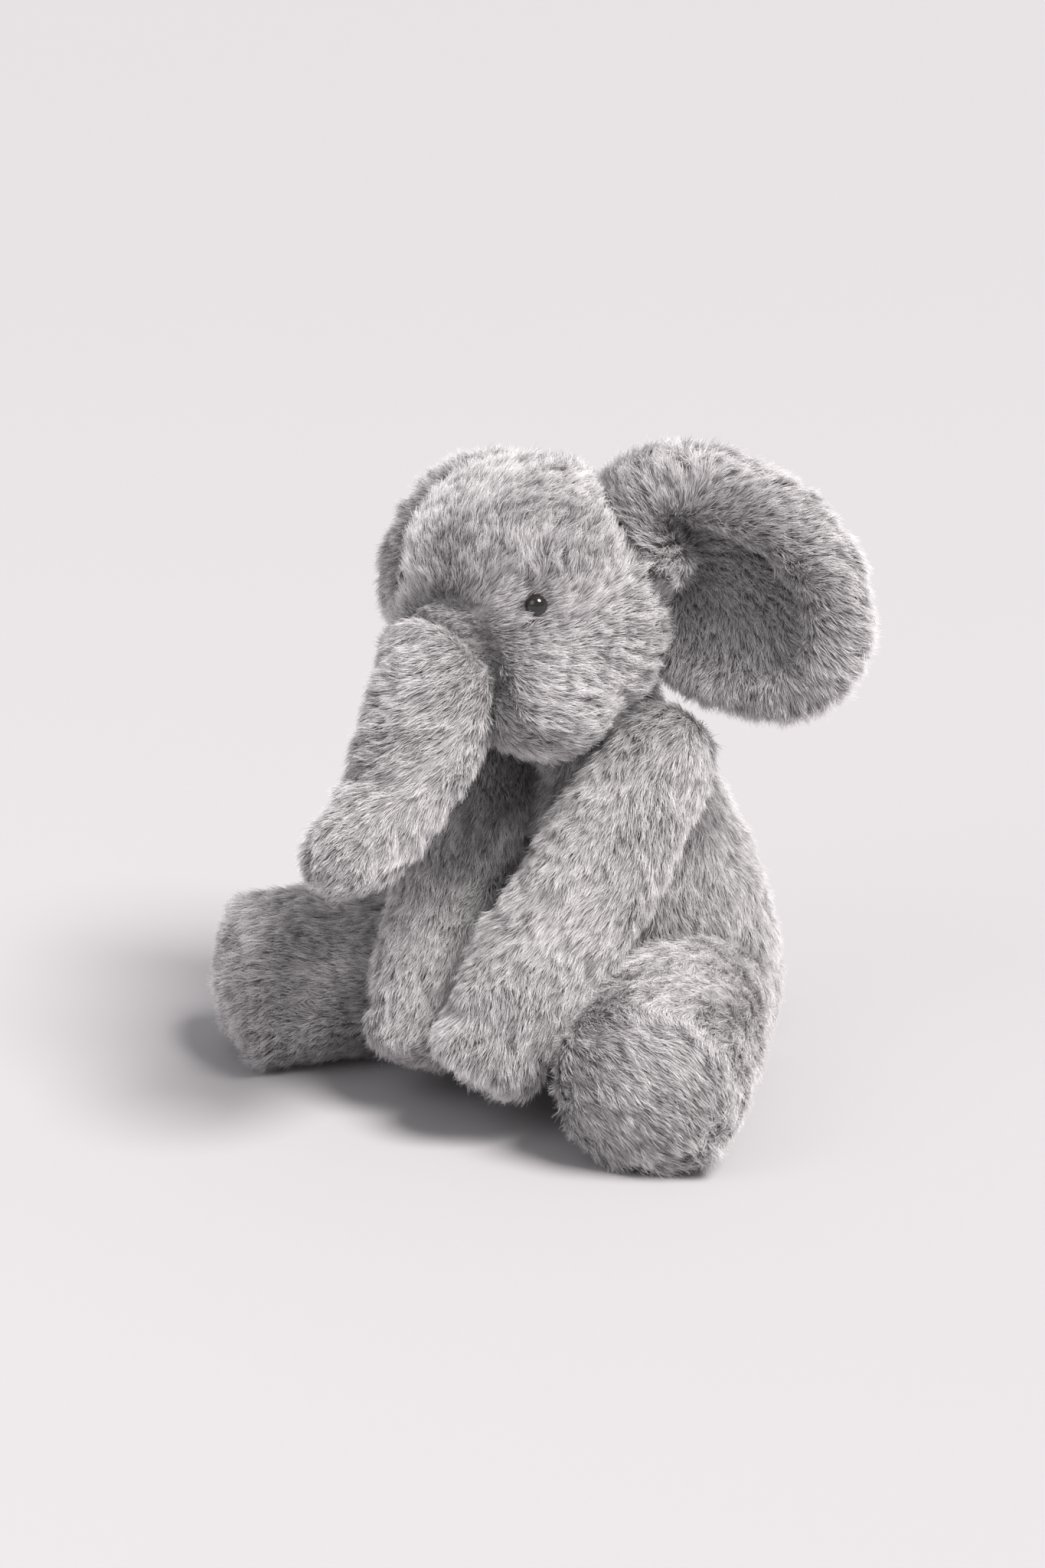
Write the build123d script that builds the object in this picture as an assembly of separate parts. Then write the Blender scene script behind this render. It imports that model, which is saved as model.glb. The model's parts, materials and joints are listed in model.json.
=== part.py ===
"""Stuffed elephant, sitting: plush covers with loose fibre filling, joined by sewn seams.

The toy faces -Y, its left side is at +X and +Z is up. The origin is the centre of the torso's flat seat,
on the floor. Every length is in millimetres. The sizes are of the cloth itself, without its long pile.
"""
from build123d import *
import os

SIDES = {"left": 1, "right": -1}

# ---- cloth and clearances ----
WALL = 3.0            # cloth with its backing and seam allowance
SWING_GAP = 0.6       # between covers that swing past each other
FILL_GAP = 0.3        # between a cover and the filling inside it
BLOCK = 600.0         # side of the blocks that cut the flat faces, larger than the toy

# ---- torso: a pear that leans forward, with a round neck ----
SEAT = Vector(0, 8, 0)            # where the torso's axis meets the floor
NECK = Vector(0, -48, 186)        # centre of the neck, which the head nods about
NECK_RADIUS = 34.0
TORSO_GIRTH = [(40, -17), (58, 6), (66, 42), (65, 82), (58, 120), (48, 147), (34, 165), (17, 175)]
TORSO_FOOT, TORSO_TOP = -24.0, 178.0     # heights on the axis, as are the second numbers of the girths
PELLET_BAG_RADIUS, PELLET_BAG_HEIGHT = 36.0, 14.0

# ---- head: a spheroid whose long axis runs from the neck to the forehead ----
HEAD = Vector(0, -90, 254)
HEAD_RADIUS, HEAD_HALF_LENGTH = 64.0, 69.0
HEAD_AXIS = (HEAD - NECK).normalized()

# ---- trunk: round sections down a curve, from the face to the tip ----
TRUNK_CURVE = [(-146, 236), (-159, 218), (-174, 193), (-191, 172), (-208, 159), (-222, 153)]   # y, z
TRUNK_RADII = [28.5, 28.5, 25.5, 22, 19, 16.5]
TRUNK_ROOT_RADIUS = 29.5
TRUNK_TIP_RADIUS = 17.5
TRUNK_RANGE = (-6, 0, 12, 24, 35)     # degrees that the trunk's pocket in the face is cut for

# ---- arms and legs: a ball at the root, a round side and a flat end ----
SHOULDER = Vector(54, -60, 174)
PAW = {"left": Vector(31, -150, 52), "right": Vector(28, -138, 56)}
ARM_BALL, ARM_LENGTH, ARM_EDGE = 26.0, 180.0, 13.0
ARM_GIRTH = [(30, 45), (30.5, 100), (29, 140)]      # radius, distance from the shoulder
ARM_END_RADIUS = 26.0

HIP = Vector(55, -30, 43)
SOLE = {"left": Vector(122, -149, 43), "right": Vector(137, -175, 43)}
LEG_BALL, LEG_EDGE = 35.0, 11.0
LEG_GIRTH = [(40, 40), (43, 80)]
LEG_END_RADIUS = 44.0
SPLAY_RANGE = (0, 12, 25)             # degrees that the legs' pockets in the torso are cut for

# ---- ears: a dished plate of front cloth, padding and back cloth ----
EAR_ROOT = {"left": Vector(43.5, -51, 255.5), "right": Vector(44, -41, 247)}
EAR_SWEEP = {"left": 22.0, "right": 2.0}      # degrees that the ear leans back from straight sideways
EAR_DROOP = {"left": 0.0, "right": 7.0}        # degrees that the ear hangs down
EAR_OUTLINE = [(-38, 42), (-12, 66), (18, 72), (62, 59), (94, 33), (106, -1), (100, -31), (83, -48),
               (62, -55), (36, -52), (12, -44), (-14, -20)]     # outwards, upwards from the ear's root
DISH_RADIUS, DISH_CENTRE = 170.0, (45.0, 8.0)
EAR_FRONT, EAR_PADDING, EAR_BACK = 3.0, 8.0, 3.0                # thicknesses from front to back
EAR_RIM = 3.5                         # seam between the front cloth and the back cloth
EAR_GAP = 4.0                         # between the ear's root and the head
EAR_REACH = 60.0                      # half depth of the block that the plate is cut from

# ---- eyes and tail ----
EYE_DIRECTION = Vector(44, -46.5, 11.5)   # from the head's centre
BEAD_RADIUS, BEAD_PROUD = 5.5, 3.0
SHANK_RADIUS, SHANK_LENGTH = 1.6, 12.0
SHANK_GRIP = 1.0                      # how far the shank runs into the bead
SHANK_HOLE_GAP = 0.1                  # all round the shank, in the cloth
WASHER_RADIUS, WASHER_THICKNESS = 7.0, 1.6
WASHER_BORE_GAP = 0.05                # all round the shank, in the washer
WASHER_DEPTH = 4.0                    # from the back of the bead to the washer
WASHER_CLEARANCE = 1.0                # round the washer, in the filling
TAIL_ROOT, TAIL_TIP = Vector(0, 62, 52), Vector(0, 84, 18)
TAIL_BALL, TAIL_RADIUS, TAIL_EDGE = 8.0, 7.0, 5.0
TAIL_WALL = 1.5
LEAST_EDGE = 1.0                      # smallest rounding of a limb's end


def mirrored(point, side):
    """The point for this side of the toy, given the left one."""
    return Vector(point.X * SIDES[side], point.Y, point.Z)


def turned(*edges):
    """Solid of revolution about Z of the half outline that the edges draw from its foot to its top."""
    outline = Curve() + list(edges)
    foot, top = edges[0] @ 0, edges[-1] @ 1
    return revolve(Plane.XZ * make_face(outline + Line(top, foot)), Axis.Z)


def inset_profile(profile, inset):
    return [(radius - inset, height) for radius, height in profile]


def limb(root, end, length, ball, girth, end_radius, edge, inset=0.0):
    """Ball at the root, round side and flat end with a rounded edge. A negative inset makes it larger."""
    top = length - inset
    edge = max(edge - inset, LEAST_EDGE)
    end_radius = end_radius - inset
    root_arc = CenterArc((0, 0), ball - inset, -90, 90)
    side_points = [(ball - inset, 0), *inset_profile(girth, inset), (end_radius, top - edge)]
    side = Spline(*side_points, tangents=[(0, 1), (0, 1)])
    edge_arc = CenterArc((end_radius - edge, top - edge), edge, 0, 90)
    cap = Line((end_radius - edge, top), (0, top))
    return Plane(origin=root, z_dir=end - root) * turned(root_arc, side, edge_arc, cap)


def arm(side, inset=0.0):
    root, end = mirrored(SHOULDER, side), mirrored(PAW[side], side)
    return limb(root, end, ARM_LENGTH, ARM_BALL, ARM_GIRTH, ARM_END_RADIUS, ARM_EDGE, inset)


def leg(side, inset=0.0, splay=0.0):
    root, end = mirrored(HIP, side), mirrored(SOLE[side], side)
    length = (end - root).length
    shape = limb(root, end, length, LEG_BALL, LEG_GIRTH, LEG_END_RADIUS, LEG_EDGE, inset)
    return shape.rotate(Axis(root, (0, 0, 1)), splay * SIDES[side])


def tail(inset=0.0):
    length = (TAIL_TIP - TAIL_ROOT).length
    return limb(TAIL_ROOT, TAIL_TIP, length, TAIL_BALL, [(TAIL_RADIUS, length / 2)], TAIL_RADIUS,
                TAIL_EDGE, inset)


def head_spheroid(inset=0.0):
    """The head without its sockets."""
    across, along = HEAD_RADIUS - inset, HEAD_HALF_LENGTH - inset
    half = EllipticalCenterArc((0, 0), across, along, start_angle=-90, arc_size=180)
    return Plane(origin=HEAD, z_dir=HEAD_AXIS) * turned(half)


def trunk(inset=0.0, lift=0.0):
    """The trunk, turned up by lift degrees about its root."""
    path = Spline(*[(0, y, z) for y, z in TRUNK_CURVE])
    rings = []
    for (y, z), radius in zip(TRUNK_CURVE, TRUNK_RADII):
        along = path.param_at_point((0, y, z))
        rings.append(Plane(origin=(0, y, z), z_dir=path % along, x_dir=(1, 0, 0)) * Circle(radius - inset))
    root = Vector(0, *TRUNK_CURVE[0])
    tip = Vector(0, *TRUNK_CURVE[-1])
    tube = loft(rings)
    shape = tube + Pos(root) * Sphere(TRUNK_ROOT_RADIUS - inset) + Pos(tip) * Sphere(TRUNK_TIP_RADIUS - inset)
    return shape.rotate(Axis(root, (-1, 0, 0)), lift)


def trunk_pocket(clear):
    """Everything that the trunk's root sweeps in the face."""
    pocket = trunk(-clear)
    for lift in TRUNK_RANGE:
        if lift:
            pocket += trunk(-clear, lift)
    return pocket


def torso_pear(inset=0.0):
    """The torso without its sockets and its flat seat."""
    axis = Plane(origin=SEAT, z_dir=NECK - SEAT)
    foot, top = (0, TORSO_FOOT + inset), (0, TORSO_TOP - inset)
    side = Spline(foot, *inset_profile(TORSO_GIRTH, inset), top, tangents=[(1, 0), (-1, 0)])
    return axis * turned(side) + Pos(NECK) * Sphere(NECK_RADIUS - inset)


def torso_sockets(clear):
    """What the arms, the legs and the tail sweep at the torso's surface."""
    sockets = [tail(-clear)]
    for side in SIDES:
        sockets.append(arm(side, -clear))
        sockets += [leg(side, -clear, splay) for splay in SPLAY_RANGE]
    return sockets


def above(height):
    """Block of everything higher than this height, used to cut a flat seat."""
    return Pos(0, 0, height) * Box(BLOCK, BLOCK, BLOCK, align=(Align.CENTER, Align.CENTER, Align.MIN))


def cut(shape, tools):
    for tool in tools:
        shape = shape - tool
    return shape


def torso_parts():
    outer = cut(torso_pear() & above(0), torso_sockets(SWING_GAP))
    room = cut(torso_pear(WALL) & above(WALL), torso_sockets(SWING_GAP + WALL))
    inset = WALL + FILL_GAP
    filling = cut(torso_pear(inset) & above(inset), torso_sockets(SWING_GAP + inset))
    bag = Pos(SEAT + Vector(0, 0, inset)) * Cylinder(
        PELLET_BAG_RADIUS, PELLET_BAG_HEIGHT, align=(Align.CENTER, Align.CENTER, Align.MIN))
    bag = fillet(bag.edges(), PELLET_BAG_HEIGHT / 3)
    bag_room = Pos(SEAT + Vector(0, 0, inset)) * Cylinder(
        PELLET_BAG_RADIUS + FILL_GAP, PELLET_BAG_HEIGHT + FILL_GAP, align=(Align.CENTER, Align.CENTER, Align.MIN))
    return {"torso_cover": outer - room, "torso_filling": filling - bag_room, "pellet_bag": bag}


def head_sockets(clear):
    return [Pos(NECK) * Sphere(NECK_RADIUS + clear), trunk_pocket(clear)]


def eye_plane(side):
    """Plane on the head's surface at the eye, facing outwards."""
    way = mirrored(EYE_DIRECTION, side)
    along = HEAD_AXIS * way.dot(HEAD_AXIS)
    across = way - along
    reach = (across.length ** 2 / HEAD_RADIUS ** 2 + along.length ** 2 / HEAD_HALF_LENGTH ** 2) ** -0.5
    outwards = across / HEAD_RADIUS ** 2 + along / HEAD_HALF_LENGTH ** 2
    return Plane(origin=HEAD + way * reach, z_dir=outwards)


def eye_post(side, radius, low, high):
    """Round post along the eye's axis, between two heights over the head's surface."""
    return eye_plane(side) * Pos(0, 0, low) * Cylinder(
        radius, high - low, align=(Align.CENTER, Align.CENTER, Align.MIN))


def head_parts():
    parts = {}
    cover = cut(head_spheroid(), head_sockets(SWING_GAP))
    cover -= cut(head_spheroid(WALL), head_sockets(SWING_GAP + WALL))
    filling = cut(head_spheroid(WALL + FILL_GAP), head_sockets(SWING_GAP + WALL + FILL_GAP))
    for side in SIDES:
        bead_centre = BEAD_PROUD - BEAD_RADIUS
        bed_floor = bead_centre - BEAD_RADIUS / 2
        back = bed_floor + FILL_GAP
        bead = eye_plane(side) * Pos(0, 0, bead_centre) * Sphere(BEAD_RADIUS)
        bead &= eye_post(side, BEAD_RADIUS * 2, back, BEAD_RADIUS * 2)
        shank = eye_post(side, SHANK_RADIUS, back - SHANK_LENGTH, back + SHANK_GRIP)
        washer_front = back - WASHER_DEPTH
        washer_back = washer_front - WASHER_THICKNESS
        washer = eye_post(side, WASHER_RADIUS, washer_back, washer_front)
        washer -= eye_post(side, SHANK_RADIUS + WASHER_BORE_GAP, washer_back, washer_front)
        room_floor = back - SHANK_LENGTH - WASHER_CLEARANCE
        washer_room = eye_post(side, WASHER_RADIUS + WASHER_CLEARANCE, room_floor, -WALL)
        cover -= eye_post(side, BEAD_RADIUS + FILL_GAP, bed_floor, BEAD_RADIUS)
        cover -= eye_post(side, SHANK_RADIUS + SHANK_HOLE_GAP, -SHANK_LENGTH, 0)
        filling -= washer_room
        parts[f"eye_{side}"] = bead + shank
        parts[f"eye_washer_{side}"] = washer
    parts["head_cover"] = cover
    parts["head_filling"] = filling
    return parts


def trunk_parts():
    return {"trunk_cover": trunk() - trunk(WALL), "trunk_filling": trunk(WALL + FILL_GAP)}


def ear_plane(side):
    """The ear's own plane: X outwards along the ear, Y upwards, Z out of its front."""
    flat = Plane(origin=EAR_ROOT[side], x_dir=(1, 0, 0), z_dir=(0, -1, 0))
    swept = Plane(flat.location * Location((0, 0, 0), (0, EAR_SWEEP[side], 0)))
    return Plane(swept.location * Location((0, 0, 0), (0, 0, -EAR_DROOP[side])))


def dished(block, near, far):
    """The part of the block between two depths behind the ear's round front face."""
    lift = (DISH_RADIUS ** 2 - DISH_CENTRE[0] ** 2 - DISH_CENTRE[1] ** 2) ** 0.5
    centre = Pos(*DISH_CENTRE, lift)
    return (block & centre * Sphere(DISH_RADIUS + far)) - centre * Sphere(DISH_RADIUS + near)


def ear_layer(side, near, far, rim=0.0, gap=EAR_GAP):
    """One layer of the ear between two depths, with its outline drawn in by the rim."""
    middle = Vector(*DISH_CENTRE)
    points = [Vector(*point) - (Vector(*point) - middle).normalized() * rim for point in EAR_OUTLINE]
    block = extrude(make_face(Spline(*points, periodic=True)), amount=EAR_REACH, both=True)
    layer = ear_plane(side) * dished(block, near, far)
    layer -= head_spheroid(-gap)
    if side == "right":
        layer = mirror(layer, about=Plane.YZ)
    return layer


def ear_parts(side):
    padding_end = EAR_FRONT + EAR_PADDING
    thickness = padding_end + EAR_BACK
    front = ear_layer(side, 0, EAR_FRONT)
    room = ear_layer(side, EAR_FRONT, padding_end, EAR_RIM, EAR_GAP + WALL)
    back = ear_layer(side, EAR_FRONT, thickness) - room
    padding = ear_layer(side, EAR_FRONT + FILL_GAP, padding_end - FILL_GAP, EAR_RIM + FILL_GAP,
                        EAR_GAP + WALL + FILL_GAP)
    return {f"ear_{side}_front": front, f"ear_{side}_back": back, f"ear_{side}_padding": padding}


def end_block(root, end, start):
    """Everything further along a limb than this distance from its root."""
    return Plane(origin=root, z_dir=end - root) * Pos(0, 0, start) * Box(
        BLOCK, BLOCK, BLOCK, align=(Align.CENTER, Align.CENTER, Align.MIN))


def limb_parts(name, pad_name, outer, room, filling, end):
    """Cover, filling and the round pad that closes the limb's end."""
    return {f"{name}_cover": outer - end - room, f"{name}_filling": filling, f"{name}_{pad_name}": outer & end}


def arm_parts(side):
    root, end = mirrored(SHOULDER, side), mirrored(PAW[side], side)
    return limb_parts(f"arm_{side}", "pad", arm(side), arm(side, WALL), arm(side, WALL + FILL_GAP),
                      end_block(root, end, ARM_LENGTH - WALL))


def leg_parts(side):
    root, end = mirrored(HIP, side), mirrored(SOLE[side], side)
    floor = above(0)
    return limb_parts(f"leg_{side}", "sole", leg(side) & floor, leg(side, WALL), leg(side, WALL + FILL_GAP),
                      end_block(root, end, (end - root).length - WALL))


def tail_parts():
    return {"tail_cover": tail() - tail(TAIL_WALL), "tail_filling": tail(TAIL_WALL + FILL_GAP)}


def all_parts():
    parts = torso_parts() | head_parts() | trunk_parts() | tail_parts()
    for side in SIDES:
        parts |= ear_parts(side) | arm_parts(side) | leg_parts(side)
    return parts


os.makedirs("parts", exist_ok=True)
for node, shape in all_parts().items():
    export_step(shape, f"parts/{node}.step")
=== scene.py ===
import json
import math

import bmesh
import bpy
import numpy as np
from mathutils import Matrix, Vector
from mathutils.bvhtree import BVHTree


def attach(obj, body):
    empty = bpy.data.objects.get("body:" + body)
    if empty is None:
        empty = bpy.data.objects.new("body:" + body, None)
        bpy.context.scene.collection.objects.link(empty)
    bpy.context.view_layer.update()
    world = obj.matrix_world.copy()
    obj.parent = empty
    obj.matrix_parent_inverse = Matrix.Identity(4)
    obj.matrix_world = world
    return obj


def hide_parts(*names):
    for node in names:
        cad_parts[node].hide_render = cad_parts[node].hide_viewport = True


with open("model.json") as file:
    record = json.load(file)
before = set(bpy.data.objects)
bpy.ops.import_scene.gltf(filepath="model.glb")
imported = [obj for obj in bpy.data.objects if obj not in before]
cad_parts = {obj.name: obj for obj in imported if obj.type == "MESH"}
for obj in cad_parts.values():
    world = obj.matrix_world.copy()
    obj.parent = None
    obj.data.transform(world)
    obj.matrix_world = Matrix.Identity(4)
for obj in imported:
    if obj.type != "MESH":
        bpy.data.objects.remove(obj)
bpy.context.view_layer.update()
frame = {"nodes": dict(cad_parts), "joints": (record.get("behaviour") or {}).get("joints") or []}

# A sitting elephant of long-pile plush. Each sewn bag of cloth gets one stuffed skin that stands for its
# CAD cover. The skin carries the relief of the pile, and strands of hair grow through it.

MM = 0.001
LEFT, RIGHT = "left", "right"
SIDES = {LEFT: 1, RIGHT: -1}
joints = {joint["name"]: joint for joint in frame["joints"]}
rng = np.random.default_rng(41)

# ---- sizes, in metres ----
ROUGH_CELL = 5 * MM            # mesh size of a bag while it is being stuffed
PILE_RISE = 2.2 * MM           # height of the dense lower pile over the cloth
PILE_RELIEF = 1.3 * MM         # ridges of the lower pile
STRAND_LENGTH = 9.5 * MM
STRAND_RADIUS = 0.11 * MM
STRAND_POINTS = 5
STRAND_LEAN, LEAN_CHANGE = 0.85, 0.42     # from the skin's normal, in radians, and how much it varies
LEAN_LEAST, LEAN_MOST = 0.15, 1.3
LOCK_GATHER = 0.45                        # how far the tips draw together into locks
LOCK_SIZE = 2.2 * MM
SEAM_TRIM = 0.6                # share of its length that the pile loses at a seam
STRANDS_PER_MM2 = 2.0
STUFFING_FRAMES = 20
STUFFING_CAP = 5 * MM


# ---- camera ----
VIEW_AZIMUTH, VIEW_ELEVATION = math.radians(42), math.radians(16)
VIEW_DISTANCE = 1.6
VIEW_TARGET = Vector((0, -0.040, 0.170))
VIEW_LENS, VIEW_SHIFT = 72.0, (-0.052, -0.027)


def view_axes():
    """Right, up and back directions of the camera."""
    back = Vector((math.sin(VIEW_AZIMUTH) * math.cos(VIEW_ELEVATION),
                   -math.cos(VIEW_AZIMUTH) * math.cos(VIEW_ELEVATION), math.sin(VIEW_ELEVATION)))
    right = Vector((math.cos(VIEW_AZIMUTH), math.sin(VIEW_AZIMUTH), 0))
    return right, back.cross(right), back


def make_camera():
    right, up, back = view_axes()
    camera = bpy.data.objects.new("camera", bpy.data.cameras.new("camera"))
    bpy.context.scene.collection.objects.link(camera)
    turn = Matrix((right, up, back)).transposed().to_4x4()
    camera.matrix_world = Matrix.Translation(VIEW_TARGET + back * VIEW_DISTANCE) @ turn
    camera.data.lens = VIEW_LENS
    camera.data.shift_x, camera.data.shift_y = VIEW_SHIFT
    camera.data.clip_start, camera.data.clip_end = 0.05, 50
    bpy.context.scene.camera = camera


# ---- noise and vectors, for many points at once ----
def lattice(points, cell, seed=0):
    """Smooth noise from -1 to 1 at each point, with features of about the cell's size."""
    place = points / cell
    corner = np.floor(place).astype(np.int64)
    part = place - corner
    part = part * part * (3 - 2 * part)
    total = np.zeros(len(points))
    for dx in (0, 1):
        for dy in (0, 1):
            for dz in (0, 1):
                key = ((corner[:, 0] + dx) * 73856093) ^ ((corner[:, 1] + dy) * 19349663)
                key ^= ((corner[:, 2] + dz) * 83492791) ^ (seed * 2654435 + 97)
                key = (key ^ (key >> 13)) * 1274126177
                value = ((key ^ (key >> 16)) & 0xFFFF) / 32767.5 - 1
                weight = (np.where(dx, part[:, 0], 1 - part[:, 0]) * np.where(dy, part[:, 1], 1 - part[:, 1])
                          * np.where(dz, part[:, 2], 1 - part[:, 2]))
                total += weight * value
    return total


def swirl(points, cell, seed=0):
    """A smooth random direction at each point."""
    return np.stack([lattice(points, cell, seed + k) for k in (11, 12, 13)], axis=1)


def lock_centres(points, cell, seed=0):
    """Centre of the small lock of fur that each point belongs to."""
    corner = np.floor(points / cell)
    middle = (corner + 0.5) * cell
    jitter = np.stack([lattice(middle * 7.3, cell, seed + k) for k in (1, 2, 3)], axis=1)
    return middle + jitter * cell * 0.6


def unit(vectors):
    return vectors / np.maximum(np.linalg.norm(vectors, axis=1, keepdims=True), 1e-9)


def along_surface(vectors, normals):
    """The vectors laid flat on the surface, with unit length."""
    return unit(vectors - normals * np.sum(vectors * normals, axis=1, keepdims=True))


def bump(distance, reach):
    """1 at no distance, falling smoothly to 0 at the reach."""
    share = np.clip(1 - distance / reach, 0, 1)
    return share * share * (3 - 2 * share)


# ---- meshes ----
def new_object(name, points, faces):
    mesh = bpy.data.meshes.new(name)
    mesh.from_pydata([tuple(p) for p in points], [], faces)
    mesh.update()
    piece = bpy.data.objects.new(name, mesh)
    bpy.context.scene.collection.objects.link(piece)
    return piece


def points_of(mesh):
    found = np.zeros(len(mesh.vertices) * 3, np.float32)
    mesh.vertices.foreach_get("co", found)
    return found.reshape(-1, 3).astype(float)


def normals_of(mesh):
    found = np.zeros(len(mesh.vertices) * 3, np.float32)
    mesh.vertices.foreach_get("normal", found)
    return found.reshape(-1, 3).astype(float)


def set_points(mesh, points):
    mesh.vertices.foreach_set("co", points.astype(np.float32).ravel())
    mesh.update()


def settle(piece):
    """Applies the piece's modifiers."""
    shown = piece.evaluated_get(bpy.context.evaluated_depsgraph_get())
    mesh = bpy.data.meshes.new_from_object(shown)
    piece.modifiers.clear()
    old = piece.data
    piece.data = mesh
    bpy.data.meshes.remove(old)


def remesh(piece, cell, smoothing):
    """Rebuilds the piece as one closed skin of even faces."""
    step = piece.modifiers.new("remesh", "REMESH")
    step.mode = "VOXEL"
    step.voxel_size = cell
    if smoothing:
        relax = piece.modifiers.new("relax", "SMOOTH")
        relax.factor, relax.iterations = 0.5, smoothing
    settle(piece)


def turned(name, root, way, profile, segments=48):
    """Closed skin around a straight line: profile holds (distance along the way, radius)."""
    way = Vector(way).normalized()
    side = way.orthogonal().normalized()
    other = way.cross(side)
    points, faces = [Vector(root) + way * profile[0][0]], []
    for height, radius in profile[1:-1]:
        for k in range(segments):
            turn = 2 * math.pi * k / segments
            points.append(Vector(root) + way * height
                          + (side * math.cos(turn) + other * math.sin(turn)) * radius)
    points.append(Vector(root) + way * profile[-1][0])
    rings = len(profile) - 2
    for k in range(segments):
        after = (k + 1) % segments
        faces.append((0, 1 + after, 1 + k))
        for ring in range(rings - 1):
            a, b = 1 + ring * segments, 1 + (ring + 1) * segments
            faces.append((a + k, a + after, b + after, b + k))
        last = 1 + (rings - 1) * segments
        faces.append((last + k, last + after, len(points) - 1))
    return new_object(name, points, faces)


def measured_profile(node, root, way, step=4 * MM):
    """Radius of a CAD cover at even steps along a line, as (distance, radius), with its two ends."""
    points = points_of(frame["nodes"][node].data) - np.array(root)
    way = np.array(Vector(way).normalized())
    heights = points @ way
    radii = np.linalg.norm(points - np.outer(heights, way), axis=1)
    low, high = heights.min(), heights.max()
    stations = np.arange(low + step / 2, high, step)
    outer = []
    for station in stations:
        near = np.abs(heights - station) < step
        outer.append(radii[near].max() if near.any() else (outer[-1] if outer else 0))
    return [(low, 0.0), *zip(stations, outer), (high, 0.0)]


def merged(name, pieces):
    """One object from several overlapping closed ones."""
    points, faces = [], []
    for piece in pieces:
        start = len(points)
        points += [tuple(vertex.co) for vertex in piece.data.vertices]
        faces += [tuple(start + k for k in face.vertices) for face in piece.data.polygons]
        bpy.data.objects.remove(piece)
    return new_object(name, points, faces)


def ball(name, centre, radii):
    """Ellipsoid with its axes along X, Y and Z."""
    turns = [k * math.pi / 24 for k in range(25)]
    piece = turned(name, (0, 0, 0), (0, 0, 1), [(-math.cos(t), math.sin(t)) for t in turns])
    set_points(piece.data, points_of(piece.data) * np.array(radii) + np.array(centre))
    return piece


# ---- the stuffed shapes, before stuffing ----
NECK = np.array(joints["neck_nod"]["pos_m"])
SEAT = np.array((0, 0.008, 0))
HEAD = np.array((0, -0.090, 0.254))
HEAD_RADIUS, HEAD_HALF_LENGTH = 0.064, 0.069
NECK_RADIUS = 0.034
CHEEK, CHEEK_RADIUS = np.array((0.030, -0.118, 0.222)), 0.034
CROWN, CROWN_RADIUS = np.array((0.020, -0.093, 0.280)), 0.037
MUZZLE_BULGE, MUZZLE_RADII = np.array((0, -0.116, 0.236)), np.array((0.044, 0.048, 0.038))
TRUNK_CURVE = np.array([(0, -0.146, 0.236), (0, -0.159, 0.218), (0, -0.174, 0.193), (0, -0.191, 0.172),
                        (0, -0.208, 0.159), (0, -0.222, 0.153)])
TRUNK_RADII = np.array((29.0, 28.5, 25.5, 22.0, 19.0, 17.0)) * MM
SOLES = {LEFT: np.array((0.122, -0.149, 0.043)), RIGHT: np.array((-0.137, -0.175, 0.043))}
PAWS = {LEFT: np.array((0.031, -0.150, 0.052)), RIGHT: np.array((-0.028, -0.138, 0.056))}
TAIL_TIP = np.array((0, 0.084, 0.018))
ROOTS = {}
for side in SIDES:
    ROOTS[f"arm_{side}"] = np.array(joints[f"arm_{side}_lift"]["pos_m"])
    ROOTS[f"leg_{side}"] = np.array(joints[f"leg_{side}_splay"]["pos_m"])
ROOTS["tail"] = np.array(joints["tail_swing"]["pos_m"])


def profile_of(nodes, root, way):
    """Outer radius of some CAD nodes at even steps along a line."""
    merged_profile = {}
    for node in nodes:
        for height, radius in measured_profile(node, root, way):
            key = round(height / (4 * MM))
            best = merged_profile.get(key, (height, 0.0))
            merged_profile[key] = max(best, (height, radius), key=lambda pair: pair[1])
    found = [merged_profile[key] for key in sorted(merged_profile)]
    return [(found[0][0] - 1e-4, 0.0), *found[1:-1], (found[-1][0], 0.0)]


def torso_shape():
    way = NECK - SEAT
    pear = turned("pear", SEAT, way, profile_of(["torso_cover"], SEAT, way))
    neck = ball("neck", NECK, (NECK_RADIUS,) * 3)
    return merged("torso", [pear, neck])


def head_shape():
    turns = [k * math.pi / 32 for k in range(33)]
    round_profile = [(-math.cos(t) * HEAD_HALF_LENGTH, math.sin(t) * HEAD_RADIUS) for t in turns]
    skull = turned("skull", HEAD, HEAD - NECK, round_profile)
    lobes = [ball("lobe", centre * (sign, 1, 1), (radius,) * 3) for sign in SIDES.values()
             for centre, radius in ((CHEEK, CHEEK_RADIUS), (CROWN, CROWN_RADIUS))]
    return merged("head", [skull, ball("muzzle", MUZZLE_BULGE, MUZZLE_RADII), *lobes])


def tube_shape(name, curve, radii, steps=60):
    """Chain of overlapping balls along a curve, close enough to read as one tube."""
    lengths = np.concatenate([[0], np.cumsum(np.linalg.norm(np.diff(curve, axis=0), axis=1))])
    at = np.linspace(0, lengths[-1], steps)
    balls = []
    for distance in at:
        centre = [np.interp(distance, lengths, curve[:, k]) for k in range(3)]
        radius = float(np.interp(distance, lengths, radii))
        balls.append(ball("link", centre, (radius,) * 3))
    return merged(name, balls)


def limb_shape(name, nodes, root, end):
    return turned(name, root, end - root, profile_of(nodes, root, end - root))


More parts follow.
